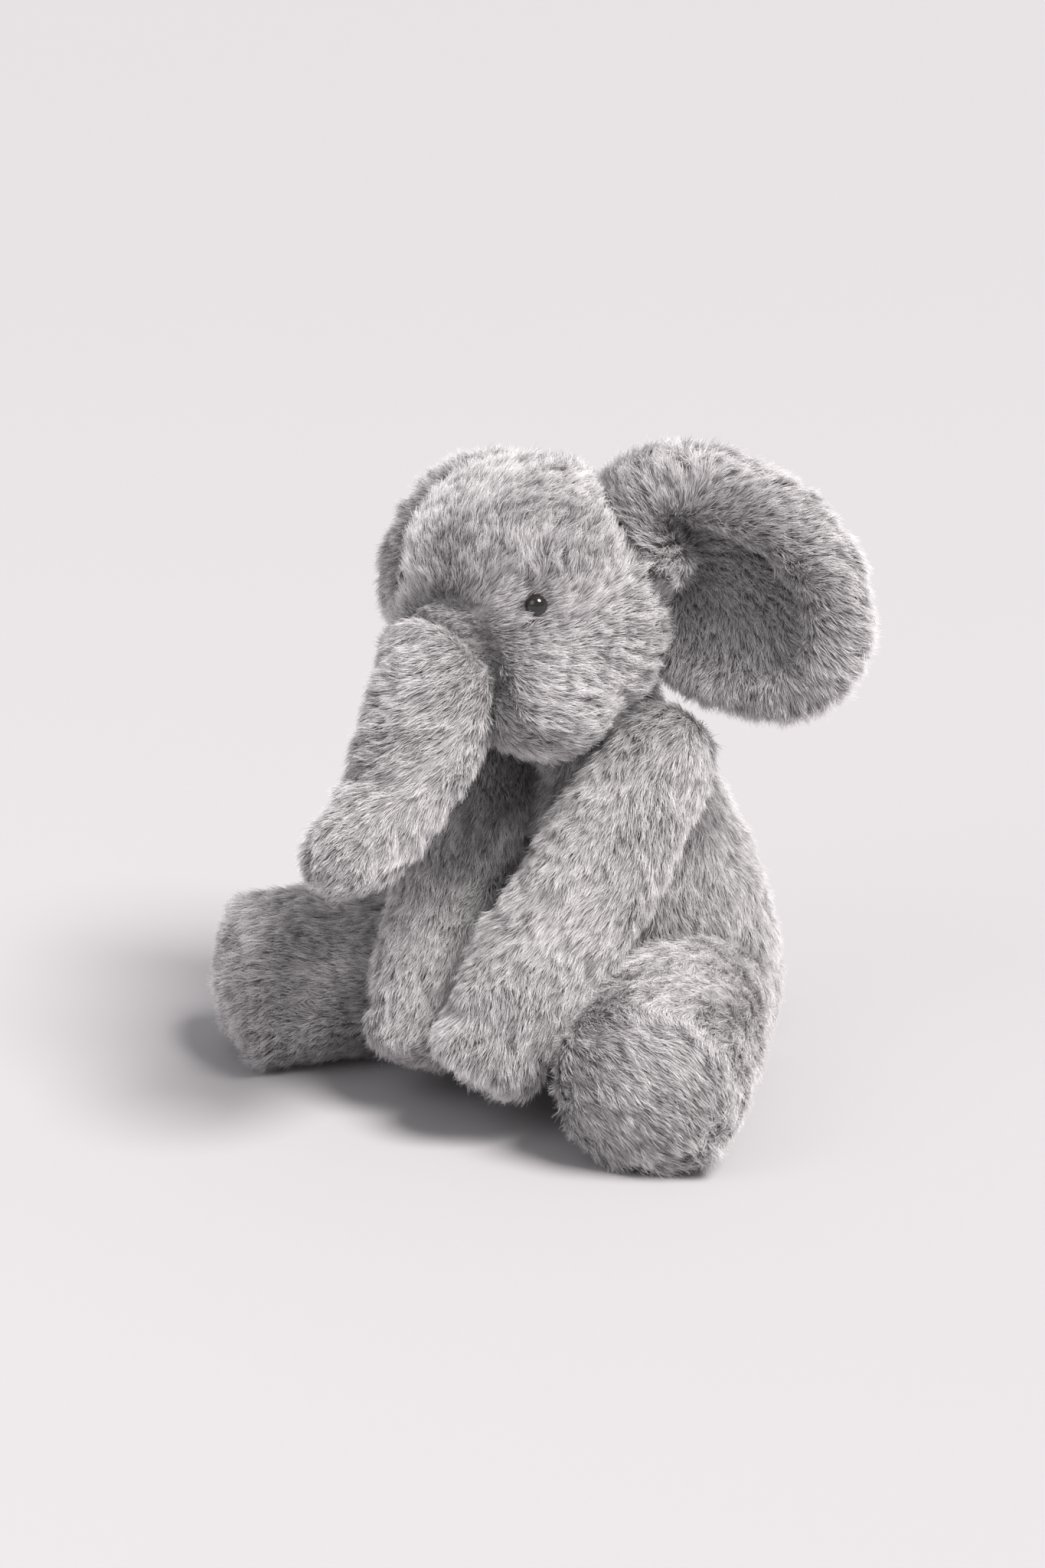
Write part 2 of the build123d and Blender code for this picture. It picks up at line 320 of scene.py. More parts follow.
# ---- ears ----
EAR_ROOT = {LEFT: np.array((0.0435, -0.051, 0.2555)), RIGHT: np.array((-0.044, -0.041, 0.247))}
EAR_SWEEP = {LEFT: math.radians(22), RIGHT: math.radians(2)}
EAR_DROOP = {LEFT: 0.0, RIGHT: math.radians(7)}
EAR_OUTLINE = np.array([(-38, 42), (-12, 66), (18, 72), (62, 59), (94, 33), (106, -1), (100, -31), (83, -48),
                        (62, -55), (36, -52), (12, -44), (-14, -20)]) * MM
DISH_RADIUS, DISH_CENTRE = 0.170, np.array((0.045, 0.008))
EAR_THICKNESS = 11 * MM
EAR_TOP_SHARE = {LEFT: 1.0, RIGHT: 0.84}       # the right ear is flattened from above
EAR_REACH_SHARE = {LEFT: 1.0, RIGHT: 1.08}     # and a little longer
# the rolled rim, from the corner folded over the head round to the lobe:
# outwards, upwards, how far it stands out of the front, radius
EAR_ROLL = np.array([(13, 21, 25, 8), (3, 30, 28, 10.5), (-5, 42, 27, 12.5), (-3, 55, 25, 13),
                     (12, 60, 24, 13.5), (34, 58, 22, 14), (57, 49, 19, 13.5), (76, 34, 15, 12),
                     (90, 13, 10, 11), (93, -10, 8, 10), (83, -31, 6, 9.5), (64, -43, 6, 9),
                     (43, -43, 4, 8.5), (24, -37, 2, 8)]) * MM


def ear_axes(side):
    """Outwards, upwards and front directions of an ear."""
    sweep, droop = EAR_SWEEP[side], EAR_DROOP[side]
    out = np.array((math.cos(sweep), math.sin(sweep), 0))
    front = np.array((math.sin(sweep), -math.cos(sweep), 0))
    up = np.array((0, 0, 1.0))
    turned_out = out * math.cos(droop) - up * math.sin(droop)
    turned_up = up * math.cos(droop) + out * math.sin(droop)
    mirror = np.array((SIDES[side], 1, 1))
    return turned_out * mirror, turned_up * mirror, front * mirror


def closed_curve(points, count):
    """Smooth closed curve through the points."""
    found = []
    size = len(points)
    for k in range(count):
        place = k * size / count
        index, part = int(place), place % 1
        a, b, c, d = (points[(index + shift) % size] for shift in (-1, 0, 1, 2))
        found.append(0.5 * (2 * b + (c - a) * part + (2 * a - 5 * b + 4 * c - d) * part ** 2
                            + (3 * b - a - 3 * c + d) * part ** 3))
    return np.array(found)


def ear_shape(side, segments=120):
    """Dished ear with a puffy rim."""
    out, up, front = ear_axes(side)
    rim = closed_curve(EAR_OUTLINE * (EAR_REACH_SHARE[side], 1), segments)
    rim[:, 1] = np.where(rim[:, 1] > 0, rim[:, 1] * EAR_TOP_SHARE[side], rim[:, 1])
    lift = math.sqrt(DISH_RADIUS ** 2 - DISH_CENTRE @ DISH_CENTRE)
    shares = [*np.linspace(0, 0.9, 19)[1:], 0.93, 0.955, 0.975, 0.99]

    def place(flat, share, face):
        depth = lift - math.sqrt(DISH_RADIUS ** 2 - (flat - DISH_CENTRE) @ (flat - DISH_CENTRE))
        roll = math.sqrt(max(1 - max(0, (share - 0.8) / 0.2) ** 2, 0))
        depth += -EAR_THICKNESS / 2 + face * EAR_THICKNESS / 2 * roll
        return EAR_ROOT[side] + out * flat[0] + up * flat[1] + front * depth

    points, faces = [], []
    for face in (1, -1):
        points.append(place(DISH_CENTRE, 0, face))
        for share in shares:
            points += [place(DISH_CENTRE + (spot - DISH_CENTRE) * share, share, face) for spot in rim]
    side_count = 1 + len(shares) * segments
    edge = len(points)
    points += [place(spot, 1.0, 0) for spot in rim]
    for k in range(segments):
        after = (k + 1) % segments
        for face in (0, 1):
            start = face * side_count
            ring = start + 1
            faces.append((start, ring + k, ring + after))
            for _ in shares[1:]:
                faces.append((ring + k, ring + segments + k, ring + segments + after, ring + after))
                ring += segments
            faces.append((ring + k, edge + k, edge + after, ring + after))
    piece = new_object(f"ear_{side}", points, faces)
    tool = bmesh.new()
    tool.from_mesh(piece.data)
    bmesh.ops.recalc_face_normals(tool, faces=tool.faces)
    tool.to_mesh(piece.data)
    tool.free()
    line = []
    for out_by, up_by, proud, radius in EAR_ROLL:
        up_by *= EAR_TOP_SHARE[side] if up_by > 0 else 1
        out_by *= EAR_REACH_SHARE[side]
        flat = np.array((out_by, up_by))
        depth = lift - math.sqrt(DISH_RADIUS ** 2 - (flat - DISH_CENTRE) @ (flat - DISH_CENTRE))
        line.append(EAR_ROOT[side] + out * out_by + up * up_by + front * (depth + proud - radius))
    roll = tube_shape("roll", np.array(line), EAR_ROLL[:, 3], steps=90)
    return merged(f"ear_{side}", [piece, roll])


# ---- stuffing ----
def stuff(pieces):
    """Swells every rough bag with one short cloth simulation. Held points stay where the seams are."""
    starts = {}
    for piece, held, cap in pieces:
        points, normals = points_of(piece.data), normals_of(piece.data)
        shrunk = points - normals * cap * 0.45
        set_points(piece.data, shrunk)
        starts[piece.name] = (shrunk, cap)
        group = piece.vertex_groups.new(name="held")
        group.add([int(k) for k in np.nonzero(held(points, normals))[0]], 1.0, "REPLACE")
        cloth = piece.modifiers.new("stuffing", "CLOTH")
        settings = cloth.settings
        settings.quality = 4
        settings.mass = 0.25
        settings.tension_stiffness = settings.compression_stiffness = 12
        settings.shear_stiffness, settings.bending_stiffness = 6, 0.4
        settings.use_pressure, settings.uniform_pressure_force = True, 4
        settings.vertex_group_mass = "held"
        settings.effector_weights.gravity = 0
        cloth.collision_settings.use_collision = False
        cloth.point_cache.frame_start, cloth.point_cache.frame_end = 1, STUFFING_FRAMES
    for step in range(1, STUFFING_FRAMES + 1):
        bpy.context.scene.frame_set(step)
    graph = bpy.context.evaluated_depsgraph_get()
    swollen = {}
    for piece, _, _ in pieces:
        shown = piece.evaluated_get(graph).to_mesh()
        swollen[piece.name] = points_of(shown)
        piece.evaluated_get(graph).to_mesh_clear()
    for piece, _, _ in pieces:
        start, cap = starts[piece.name]
        move = swollen[piece.name] - start
        size = np.linalg.norm(move, axis=1, keepdims=True)
        move *= np.minimum(1, cap / np.maximum(size, 1e-9))
        piece.modifiers.clear()
        piece.vertex_groups.clear()
        set_points(piece.data, start + move)
    bpy.context.scene.frame_set(1)


def refine(piece, levels=2):
    step = piece.modifiers.new("refine", "SUBSURF")
    step.levels = step.render_levels = levels
    settle(piece)


CREASE_DEPTH = {frozenset(("head", "trunk")): 3 * MM, frozenset(("head", "ear")): 3 * MM,
                frozenset(("torso", "leg")): 5 * MM, frozenset(("torso", "arm")): 3.5 * MM}
CREASE_REACH = 9 * MM


def crease_neighbours(skins):
    """Draws the cloth in where two bags are sewn together, so that each seam is a crease in the fur."""
    trees = {}
    for skin in skins:
        mesh = skin["piece"].data
        points = points_of(mesh)
        tree = BVHTree.FromPolygons(points.tolist(), [tuple(face.vertices) for face in mesh.polygons])
        trees[skin["body"]] = tree, points.min(axis=0) - CREASE_REACH, points.max(axis=0) + CREASE_REACH
    moved = {}
    for skin in skins:
        body, mesh = skin["body"], skin["piece"].data
        points, normals = points_of(mesh), normals_of(mesh)
        depth, seam = np.zeros(len(points)), np.zeros(len(points))
        for other, (tree, low, high) in trees.items():
            if other == body:
                continue
            kinds = frozenset((body.split("_")[0], other.split("_")[0]))
            most = CREASE_DEPTH.get(kinds, 2.5 * MM)
            near = np.nonzero(((points > low) & (points < high)).all(axis=1))[0]
            for index in near:
                distance = tree.find_nearest(points[index], CREASE_REACH)[3]
                if distance is not None:
                    share = 1 - distance / CREASE_REACH
                    share = share * share * (3 - 2 * share)
                    depth[index] = max(depth[index], most * share)
                    seam[index] = max(seam[index], share)
        # seam: closeness to a seam, or to the trunk's root groove on the head and trunk; it shortens the
        # strands there and darkens them as painted shade in the creases
        if body in ("head", "trunk"):
            seam = np.maximum(seam, root_groove(points) / GROOVE_DEPTH)
        tone = mesh.attributes.new("seam", "FLOAT", "POINT")
        tone.data.foreach_set("value", seam.astype(np.float32))
        moved[body] = points - normals * depth[:, None]
    for skin in skins:
        set_points(skin["piece"].data, moved[skin["body"]])


# ---- pile ----
def streaks(points, way, cell, length, seed):
    """Noise drawn out along the lie of the pile."""
    taps = np.linspace(-length / 2, length / 2, 7)
    return sum(lattice(points + way * tap, cell, seed) for tap in taps) / 3.2


def lie_of(flow, points, normals):
    """Direction in which the pile lies, with the waves and swirls of handled fur."""
    way = unit(flow(points))
    way = way + 0.5 * swirl(points, 0.040, 3) + 0.3 * swirl(points, 0.014, 5) + 0.12 * swirl(points, 0.006, 7)
    return along_surface(way, normals)


def raise_pile(piece, flow, rise=PILE_RISE, relief=PILE_RELIEF):
    """Lifts the cloth into the ridged surface of its dense lower pile, with painted shade in the hollows
    between its ridges and tufts.
    """
    points, normals = points_of(piece.data), normals_of(piece.data)
    way = lie_of(flow, points, normals)
    ridges = streaks(points, way, 2.8 * MM, 10 * MM, 21)
    tufts = lattice(points, 7 * MM, 23)
    lift = rise + relief * (ridges + 0.5 * tufts)
    # shade: lighter on the ridges and tufts, darker in the hollows between them as painted shade; the 26 mm
    # patches are random tone of the fur
    shade = np.clip(0.5 + 0.35 * ridges + 0.2 * tufts + 0.25 * lattice(points, 0.026, 25), 0, 1)
    set_points(piece.data, points + normals * lift[:, None])
    tone = piece.data.attributes.new("shade", "FLOAT", "POINT")
    tone.data.foreach_set("value", shade.astype(np.float32))
    for face in piece.data.polygons:
        face.use_smooth = True


def seam_of(mesh):
    """How close each vertex is to a seam, from 0 to 1."""
    values = np.zeros(len(mesh.vertices), np.float32)
    mesh.attributes["seam"].data.foreach_get("value", values)
    return values


def grow_strands(piece, body, flow, material, length=STRAND_LENGTH, lean_of=None, bare=()):
    """Long pile: strands rooted evenly in the skin, lying along the flow and gathered in small locks."""
    mesh = piece.data
    mesh.calc_loop_triangles()
    corners = np.zeros(len(mesh.loop_triangles) * 3, np.int32)
    mesh.loop_triangles.foreach_get("vertices", corners)
    corners = corners.reshape(-1, 3)
    points, normals = points_of(mesh), normals_of(mesh)
    a, b, c = (points[corners[:, k]] for k in range(3))
    areas = np.linalg.norm(np.cross(b - a, c - a), axis=1) / 2
    count = int(areas.sum() / MM ** 2 * STRANDS_PER_MM2)
    chosen = rng.choice(len(areas), size=count, p=areas / areas.sum())
    u, v = np.sqrt(rng.random(count)), rng.random(count)
    weights = np.stack([1 - u, u * (1 - v), u * v], axis=1)[:, :, None]
    root = (points[corners[chosen]] * weights).sum(axis=1)
    normal = unit((normals[corners[chosen]] * weights).sum(axis=1))
    keep = root[:, 2] > 1.0 * MM
    seam = (seam_of(mesh)[corners[chosen]] * weights[:, :, 0]).sum(axis=1)
    shorter = 1 - SEAM_TRIM * seam
    for spot, reach in bare:
        distance = np.linalg.norm(root - spot, axis=1)
        keep &= distance > reach
        shorter = np.minimum(shorter, np.clip(0.25 + (distance - reach) / (2.2 * reach), 0, 1))
    root, normal, shorter, seam = root[keep], normal[keep], shorter[keep], seam[keep]
    count = len(root)
    way = lie_of(flow, root, normal)
    lock = swirl(root, 4 * MM, 31)
    gather = lock_centres(root, LOCK_SIZE, 41) - root
    gather -= normal * np.sum(gather * normal, axis=1, keepdims=True)
    loose = rng.normal(0, 0.13, (count, 3))
    size = length * shorter * (0.8 + 0.4 * rng.random(count)) * (1 + 0.12 * lattice(root, 0.018, 33))
    usual = STRAND_LEAN if lean_of is None else lean_of(root, normal)
    lean = usual + LEAN_CHANGE * lattice(root, 0.019, 35) + 0.1 * rng.normal(0, 1, count)
    lean = np.clip(lean, LEAN_LEAST, LEAN_MOST)
    rise = np.cos(lean)[:, None] * normal
    side = np.sin(lean)[:, None] * unit(way + 0.25 * lock + loose)
    curl = along_surface(rng.normal(0, 1, (count, 3)), normal)
    strands = np.zeros((count, STRAND_POINTS, 3))
    for k, share in enumerate(np.linspace(0, 1, STRAND_POINTS)):
        reach = (rise * (share - 0.42 * share ** 2) + side * (0.55 * share + 0.5 * share ** 2)
                 + 0.04 * curl * math.sin(share * 4) + 0.08 * lock * share ** 2)
        strands[:, k] = root - normal * 1.0 * MM + reach * size[:, None] + gather * LOCK_GATHER * share ** 1.3
    strands[:, :, 2] = np.maximum(strands[:, :, 2], 0.4 * MM)
    thickness = STRAND_RADIUS * np.array((1.0, 0.95, 0.8, 0.55, 0.2))
    radii = thickness[None, :] * (0.7 + 0.6 * rng.random(count))[:, None]
    hair = bpy.data.hair_curves.new(f"{piece.name}_pile")
    hair.add_curves([STRAND_POINTS] * count)
    hair.points.foreach_set("position", strands.astype(np.float32).ravel())
    hair.points.foreach_set("radius", radii.astype(np.float32).ravel())
    tone = hair.attributes.new("shade", "FLOAT", "CURVE")
    # shade per strand: random tone from noise and from each strand; painted shade that darkens strands near
    # seams and creases; and painted light from the lean, lighter where the pile lies flat and darker where it
    # stands up
    shade = np.clip(0.5 + 0.07 * lattice(root, 4 * MM, 37) + 0.11 * lattice(root, 0.024, 39)
                    + 0.10 * rng.normal(0, 1, count) - 0.5 * seam + 0.5 * (lean - 0.9), 0, 1)
    tone.data.foreach_set("value", shade.astype(np.float32))
    hair.materials.append(material)
    coat = bpy.data.objects.new(f"{piece.name}_pile", hair)
    bpy.context.scene.collection.objects.link(coat)
    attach(coat, body)
    return coat


# ---- materials ----
def material_nodes(name):
    material = bpy.data.materials.new(name)
    material.use_nodes = True
    nodes, links = material.node_tree.nodes, material.node_tree.links
    return material, nodes, links, nodes["Principled BSDF"]


def ramp_node(nodes, stops):
    ramp = nodes.new("ShaderNodeValToRGB")
    ramp.color_ramp.elements[0].position, ramp.color_ramp.elements[0].color = stops[0][0], (*stops[0][1], 1)
    ramp.color_ramp.elements[1].position, ramp.color_ramp.elements[1].color = stops[-1][0], (*stops[-1][1], 1)
    for position, colour in stops[1:-1]:
        ramp.color_ramp.elements.new(position).color = (*colour, 1)
    return ramp


def combine(nodes, links, kind, first, second):
    """Maths node fed by two sockets or numbers."""
    node = nodes.new("ShaderNodeMath")
    node.operation = kind
    for socket, value in zip(node.inputs, (first, second)):
        if isinstance(value, (int, float)):
            socket.default_value = value
        else:
            links.new(value, socket)
    return node.outputs[0]


def strand_material(name, root, middle, tip):
    """Hair: dark at the root as painted shade deep in the pile, light at the tip, each strand and lock a
    little different. The shade attribute shifts the whole strand: random tone, painted shade at seams and on
    upright pile, painted light on flat pile.
    """
    material, nodes, links, shader = material_nodes(name)
    strand = nodes.new("ShaderNodeHairInfo")
    tone = nodes.new("ShaderNodeAttribute")
    tone.attribute_name = "shade"
    ramp = ramp_node(nodes, [(0.0, root), (0.45, middle), (1.0, tip)])
    shift = combine(nodes, links, "MULTIPLY_ADD", tone.outputs["Fac"], 0.7)
    shift.node.inputs[2].default_value = -0.35
    place = combine(nodes, links, "ADD", strand.outputs["Intercept"], shift)
    links.new(place, ramp.inputs["Fac"])
    links.new(ramp.outputs["Color"], shader.inputs["Base Color"])
    shader.inputs["Roughness"].default_value = 0.5
    shader.inputs["Specular IOR Level"].default_value = 0.35
    return material


def plush_material(name, dark, light):
    """Lower pile: streaks along the lie of the fur with painted shade in their hollows, random patches of
    tone, and fine fibre grain.
    """
    material, nodes, links, shader = material_nodes(name)
    tone = nodes.new("ShaderNodeAttribute")
    tone.attribute_name = "shade"
    place = nodes.new("ShaderNodeTexCoord")
    grain = nodes.new("ShaderNodeTexNoise")
    grain.inputs["Scale"].default_value, grain.inputs["Detail"].default_value = 900, 3
    links.new(place.outputs["Object"], grain.inputs["Vector"])
    mixed = combine(nodes, links, "MULTIPLY_ADD", grain.outputs["Fac"], 0.5)
    links.new(tone.outputs["Fac"], mixed.node.inputs[2])
    lowered = combine(nodes, links, "SUBTRACT", mixed, 0.25)
    ramp = ramp_node(nodes, [(0.0, dark), (1.0, light)])
    links.new(lowered, ramp.inputs["Fac"])
    links.new(ramp.outputs["Color"], shader.inputs["Base Color"])
    bump_node = nodes.new("ShaderNodeBump")
    bump_node.inputs["Strength"].default_value, bump_node.inputs["Distance"].default_value = 0.6, 0.5 * MM
    links.new(grain.outputs["Fac"], bump_node.inputs["Height"])
    links.new(bump_node.outputs["Normal"], shader.inputs["Normal"])
    shader.inputs["Roughness"].default_value = 0.9
    shader.inputs["Sheen Weight"].default_value = 0.25
    shader.inputs["Sheen Roughness"].default_value = 0.5
    return material


def fibre_material(name, dark, light, scale):
    """Hidden stuffing: matt tangled fibre or pellets."""
    material, nodes, links, shader = material_nodes(name)
    place = nodes.new("ShaderNodeTexCoord")
    grain = nodes.new("ShaderNodeTexNoise")
    grain.inputs["Scale"].default_value, grain.inputs["Detail"].default_value = scale, 6
    grain.inputs["Distortion"].default_value = 1.5
    links.new(place.outputs["Object"], grain.inputs["Vector"])
    ramp = ramp_node(nodes, [(0.35, dark), (0.65, light)])
    links.new(grain.outputs["Fac"], ramp.inputs["Fac"])
    links.new(ramp.outputs["Color"], shader.inputs["Base Color"])
    shader.inputs["Roughness"].default_value = 0.95
    return material


def bead_material():
    """Glossy dark plastic with a faint swirl of brown."""
    material, nodes, links, shader = material_nodes("eye_plastic")
    place = nodes.new("ShaderNodeTexCoord")
    swirls = nodes.new("ShaderNodeTexNoise")
    swirls.inputs["Scale"].default_value = 260
    links.new(place.outputs["Object"], swirls.inputs["Vector"])
    ramp = ramp_node(nodes, [(0.4, (0.006, 0.005, 0.005)), (0.7, (0.02, 0.013, 0.009))])
    links.new(swirls.outputs["Fac"], ramp.inputs["Fac"])
    links.new(ramp.outputs["Color"], shader.inputs["Base Color"])
    shader.inputs["Roughness"].default_value = 0.08
    shader.inputs["Coat Weight"].default_value = 0.6
    return material


# ---- how the pile lies on each piece ----
MUZZLE = np.array((0, -0.150, 0.236))
ARM_LENGTH, PAW_HEIGHT = 0.180, 0.026
PAW_GROOVE_REACH, PAW_GROOVE_DEPTH = 9 * MM, 0.8 * MM
SOLE_SEAM, SOLE_SEAM_REACH, SOLE_SEAM_DEPTH, SOLE_DOME = 0.034, 6 * MM, 2 * MM, 6 * MM
EYE_DENT_REACH, EYE_DENT_DEPTH, EYE_BARE = 20 * MM, 4 * MM, 2.1 * MM
TRUNK_BEND, BEND_REACH, BEND_DEPTH = np.array((0, -0.203, 0.186)), 13 * MM, 4 * MM
# the arch of the trunk's root seam: its top, half its width, how far its ends fall and lie back
ARCH_TOP, ARCH_HALF_WIDTH = np.array((0, -0.167, 0.2565)), 0.040
ARCH_FALL, ARCH_BACK, ARCH_POWER = 0.042, 0.017, 2.6
ARCH_THICKNESS, ARCH_END = 0.030, 1.25       # front to back, and its end as a share of the half width
GROOVE_REACH, GROOVE_DEPTH = 6 * MM, 6 * MM


def flow_down(points):
    return np.broadcast_to(np.array((0, 0, -1.0)), points.shape)


def flow_torso(points):
    outwards = points - np.array((0, -0.01, 0.2))
    return unit(outwards) + np.array((0, 0, -0.8))


def flow_head(points):
    return points - MUZZLE


def flow_trunk(points):
    return np.array((-0.45, -0.55, -0.35)) + 0.4 * unit(points - np.array((0.01, -0.17, 0.22)))


def flow_limb(root, end):
    way = unit((end - root)[None, :])[0]
    return lambda points: np.broadcast_to(way, points.shape) + 0.35 * unit(points - (root + end) / 2)


def flow_leg(root, end, side):
    """Along the leg, and across the sole from its inner edge downwards."""
    way = unit((end - root)[None, :])[0]
    across = np.array((SIDES[side] * 0.8, 0.45, -0.45))

    def flow(points):
        share = np.clip(((points - end) @ way + 0.016) / 0.012, 0, 1)[:, None]
        return (1 - share) * (way + 0.3 * unit(points - (root + end) / 2)) + share * across
    return flow


def flow_ear(side):
    out, up, front = ear_axes(side)
    centre = EAR_ROOT[side] + out * 0.01 + up * 0.02
    return lambda points: unit(points - centre) + np.array((0, 0, -0.25))


def lean_ear(side):
    """In the dish the pile stands up, on the rolled rim and the back it lies flat. The strands' shade follows
    this lean, so the dish is painted darker, which is painted shade.
    """
    out, up, front = ear_axes(side)

    def lean(points, normals):
        off = points - EAR_ROOT[side]
        flat = np.stack([off @ out, off @ up], axis=1) - DISH_CENTRE
        dish = bump(np.linalg.norm(flat * (0.8, 1.1), axis=1), 0.062) * np.clip((normals @ front) * 2, 0, 1)
        return 0.95 - 0.6 * dish
    return lean


def lean_leg(points, normals):
    """Brushed flat on top, standing up on the soles. The strands' shade follows this lean, so the top is
    painted lighter as painted light and the pile facing the front darker as painted shade.
    """
    return STRAND_LEAN + 0.5 * np.clip(normals[:, 2], 0, 1) - 0.15 * np.clip(-normals[:, 1], 0, 1)


# ---- seams that stay in when the bags swell ----
def held_nowhere(points, normals):
    return np.zeros(len(points), bool)


def held_down_middle(points, normals):
    """Seam in the plane of symmetry, down the back."""
    return (np.abs(points[:, 0]) < 3 * MM) & (normals[:, 1] > 0.1)


def dent(points, normals, spot, reach, depth):
    """Presses the surface in around a spot."""
    return points - normals * (bump(np.linalg.norm(points - spot, axis=1), reach) * depth)[:, None]


def eye_spot(side):
    """Where the bead sits on the head, from the outermost point of its CAD solid."""
    points = points_of(frame["nodes"][f"eye_{side}"].data)
    return points[np.linalg.norm(points - HEAD, axis=1).argmax()] * 1.0


def ring(points, root, end, height, reach, depth):
    """How far a groove round a limb goes in, at this distance from its root."""
    way = unit((end - root)[None, :])[0]
    return bump(np.abs((points - root) @ way - height), reach) * depth


def shape_arm(side):
    root, end = ROOTS[f"arm_{side}"], PAWS[side]

    def shape(points, normals):
        return points - normals * ring(points, root, end, ARM_LENGTH - PAW_HEIGHT,
                                       PAW_GROOVE_REACH, PAW_GROOVE_DEPTH)[:, None]
    return shape


def shape_leg(side):
    """Sole: a domed disc inside a ring seam."""
    root, end = ROOTS[f"leg_{side}"], SOLES[side]
    way = unit((end - root)[None, :])[0]

    def shape(points, normals):
        off = points - end
        away = np.linalg.norm(off - np.outer(off @ way, way), axis=1)
        facing = np.clip((normals @ way - 0.35) / 0.4, 0, 1)
        seam = bump(np.abs(away - SOLE_SEAM), SOLE_SEAM_REACH) * SOLE_SEAM_DEPTH
        dome = np.clip(1 - (away / SOLE_SEAM) ** 2, 0, 1) * SOLE_DOME
        return points + way * ((dome - seam) * facing)[:, None]
    return shape


def shape_trunk(points, normals):
    """Crease inside the bend where the tip turns out."""
    points = points - normals * root_groove(points)[:, None]
    near = bump(np.linalg.norm((points - TRUNK_BEND) * (0.35, 1, 1), axis=1), BEND_REACH)
    return points - normals * (near * BEND_DEPTH)[:, None]


def root_groove(points):
    """Depth of the crease where the trunk is sewn into the face: an arch over the trunk's root."""
    middle = np.abs(points[:, 0]) / ARCH_HALF_WIDTH
    arch_height = ARCH_TOP[2] - ARCH_FALL * middle ** ARCH_POWER
    arch_depth = ARCH_TOP[1] + ARCH_BACK * middle ** 2
    off = np.stack([points[:, 1] - arch_depth, points[:, 2] - arch_height], axis=1)
    slope = np.arctan(ARCH_FALL * ARCH_POWER * middle ** (ARCH_POWER - 1) / ARCH_HALF_WIDTH)
    away = np.abs(off[:, 1] * np.cos(slope))
    inside = bump(np.abs(off[:, 0]), ARCH_THICKNESS) * (middle < ARCH_END)
    return bump(away, GROOVE_REACH) * inside * GROOVE_DEPTH


def shape_head(points, normals):
    points = points - normals * root_groove(points)[:, None]
    for side in SIDES:
        points = dent(points, normals, eye_spot(side), EYE_DENT_REACH, EYE_DENT_DEPTH)
    return points


def shape_none(points, normals):
    return points


# ---- build ----
# strand colours at the root, the middle and the tip: the dark root is painted shade deep in the pile
STRANDS = strand_material("plush_strands", (0.06, 0.056, 0.056), (0.40, 0.384, 0.388), (0.95, 0.925, 0.93))
# lower pile from dark to light: darkest in the hollows of the pile, which is painted shade, and lightest on
# the tops of its ridges
PLUSH = plush_material("plush", (0.12, 0.113, 0.113), (0.48, 0.462, 0.466))

SKINS = []


def add_skin(piece, body, covers, slot, fill, flow, held=held_nowhere, shape=shape_none,
             cap=STUFFING_CAP, cell=ROUGH_CELL, length=STRAND_LENGTH, bare=(), smoothing=6, lean_of=None):
    """Lists one stuffed bag: what it rides on, which CAD solids it stands for, and how its pile lies."""
    remesh(piece, cell, smoothing)
    SKINS.append(dict(piece=piece, body=body, covers=covers, slot=slot, fill=fill, flow=flow, held=held,
                      shape=shape, cap=cap, length=length, bare=bare, lean_of=lean_of))


add_skin(torso_shape(), "torso", ["torso_cover", "torso_filling"], "plush", 0.8, flow_torso,
         held=held_down_middle)
add_skin(head_shape(), "head", ["head_cover", "head_filling"], "plush", 0.9, flow_head,
         held=held_down_middle, shape=shape_head, bare=[(eye_spot(side), EYE_BARE) for side in SIDES])
add_skin(tube_shape("trunk", TRUNK_CURVE, TRUNK_RADII), "trunk", ["trunk_cover", "trunk_filling"],
         "plush", 0.8, flow_trunk, shape=shape_trunk, cap=2.5 * MM, cell=4 * MM, length=9 * MM)
add_skin(limb_shape("tail", ["tail_cover"], ROOTS["tail"], TAIL_TIP), "tail",
         ["tail_cover", "tail_filling"], "plush", 0.6, flow_down, cap=1 * MM, cell=3 * MM)
for side in SIDES:
    layers = [f"ear_{side}_{layer}" for layer in ("front", "padding", "back")]
    add_skin(ear_shape(side), f"ear_{side}", layers, "ear_plush", 0.5, flow_ear(side),
             cap=1.5 * MM, cell=3 * MM, lean_of=lean_ear(side))
    for limb, end, pad, shape in (("arm", PAWS[side], "pad", shape_arm(side)),
                                  ("leg", SOLES[side], "sole", shape_leg(side))):
        name = f"{limb}_{side}"
        root = ROOTS[name]
        add_skin(limb_shape(name, [f"{name}_cover", f"{name}_{pad}"], root, end), name,
                 [f"{name}_cover", f"{name}_filling", f"{name}_{pad}"], "plush", 0.8,
                 flow_leg(root, end, side) if limb == "leg" else flow_limb(root, end), shape=shape,
                 smoothing=14, lean_of=lean_leg if limb == "leg" else None)

stuff([(skin["piece"], skin["held"], skin["cap"]) for skin in SKINS])
for skin in SKINS:
    piece = skin["piece"]
    refine(piece)
    set_points(piece.data, skin["shape"](points_of(piece.data), normals_of(piece.data)))
crease_neighbours(SKINS)
for skin in SKINS:
    piece = skin["piece"]
    raise_pile(piece, skin["flow"])
    resting = points_of(piece.data)
    resting[:, 2] = np.maximum(resting[:, 2], 0)
    set_points(piece.data, resting)
    piece.data.materials.append(PLUSH)
    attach(piece, skin["body"])
    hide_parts(*skin["covers"])
    grow_strands(piece, skin["body"], skin["flow"], STRANDS, skin["length"], skin["lean_of"], skin["bare"])

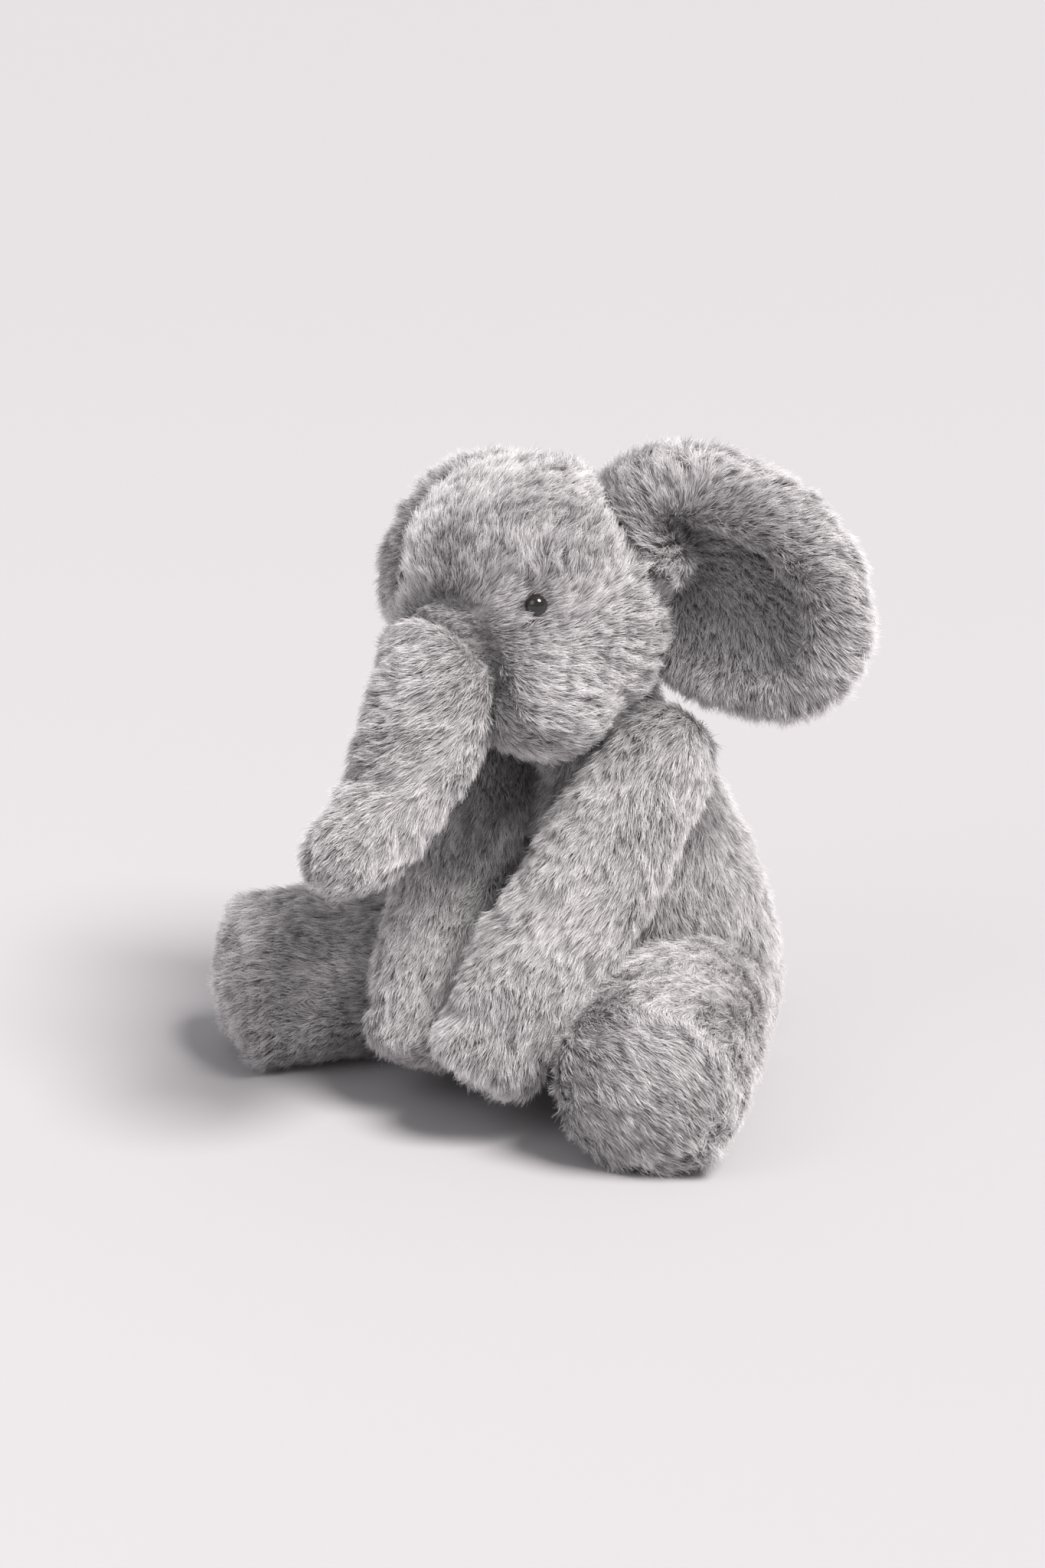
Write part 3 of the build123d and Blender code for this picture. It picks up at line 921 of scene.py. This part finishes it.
# the CAD solids that no skin stands for, told apart by the start of their names
NODE_LOOKS = [("eye_washer", fibre_material("washer_plastic", (0.6, 0.6, 0.58), (0.75, 0.75, 0.73), 90)),
              ("eye", bead_material()),
              ("pellet_bag", fibre_material("pellet_bag", (0.4, 0.38, 0.34), (0.7, 0.68, 0.62), 160))]
for node_name, node in frame["nodes"].items():
    if not node.hide_render:
        look = next(material for start, material in NODE_LOOKS if node_name.startswith(start))
        for material_slot in node.material_slots:
            material_slot.material = look


# ---- floor and light ----
FLOOR_HALF = 20.0
KEY_STRENGTH, KEY_WAY, KEY_WIDTH = 5.2, (-1.0, -0.14, -1.45), math.radians(26)
FILL_POWER, FILL_PLACE, FILL_SIZE = 9, Vector((-0.2, -1.9, 1.5)), 1.6
VIEW_MIDDLE = Vector((0, -0.04, 0.17))
SKY_STRENGTH = 0.55


def make_stage():
    points = [(-FLOOR_HALF, -FLOOR_HALF, 0), (FLOOR_HALF, -FLOOR_HALF, 0), (FLOOR_HALF, FLOOR_HALF, 0),
              (-FLOOR_HALF, FLOOR_HALF, 0)]
    floor = new_object("floor", points, [(0, 1, 2, 3)])
    material, nodes, links, shader = material_nodes("studio_floor")
    shader.inputs["Base Color"].default_value = (0.44, 0.425, 0.434, 1)
    shader.inputs["Roughness"].default_value = 0.8
    floor.data.materials.append(material)


def add_lamp(name, kind, energy, colour, way, place=(0, 0, 0)):
    """Lamp that shines along a direction."""
    lamp = bpy.data.lights.new(name, kind)
    lamp.energy, lamp.color = energy, colour
    holder = bpy.data.objects.new(name, lamp)
    bpy.context.scene.collection.objects.link(holder)
    holder.location = place
    holder.rotation_euler = Vector(way).to_track_quat("-Z", "Y").to_euler()
    return lamp


def make_light():
    world = bpy.data.worlds.new("studio")
    bpy.context.scene.world = world
    world.use_nodes = True
    sky = world.node_tree.nodes["Background"]
    sky.inputs["Color"].default_value = (0.86, 0.84, 0.87, 1)
    sky.inputs["Strength"].default_value = SKY_STRENGTH
    key = add_lamp("key", "SUN", KEY_STRENGTH, (1, 0.985, 0.97), KEY_WAY)
    key.angle = KEY_WIDTH
    fill = add_lamp("fill", "AREA", FILL_POWER, (0.97, 0.975, 1), VIEW_MIDDLE - FILL_PLACE, FILL_PLACE)
    fill.shape, fill.size = "DISK", FILL_SIZE


make_stage()
make_light()
bpy.context.scene.view_settings.view_transform = "Standard"
make_camera()
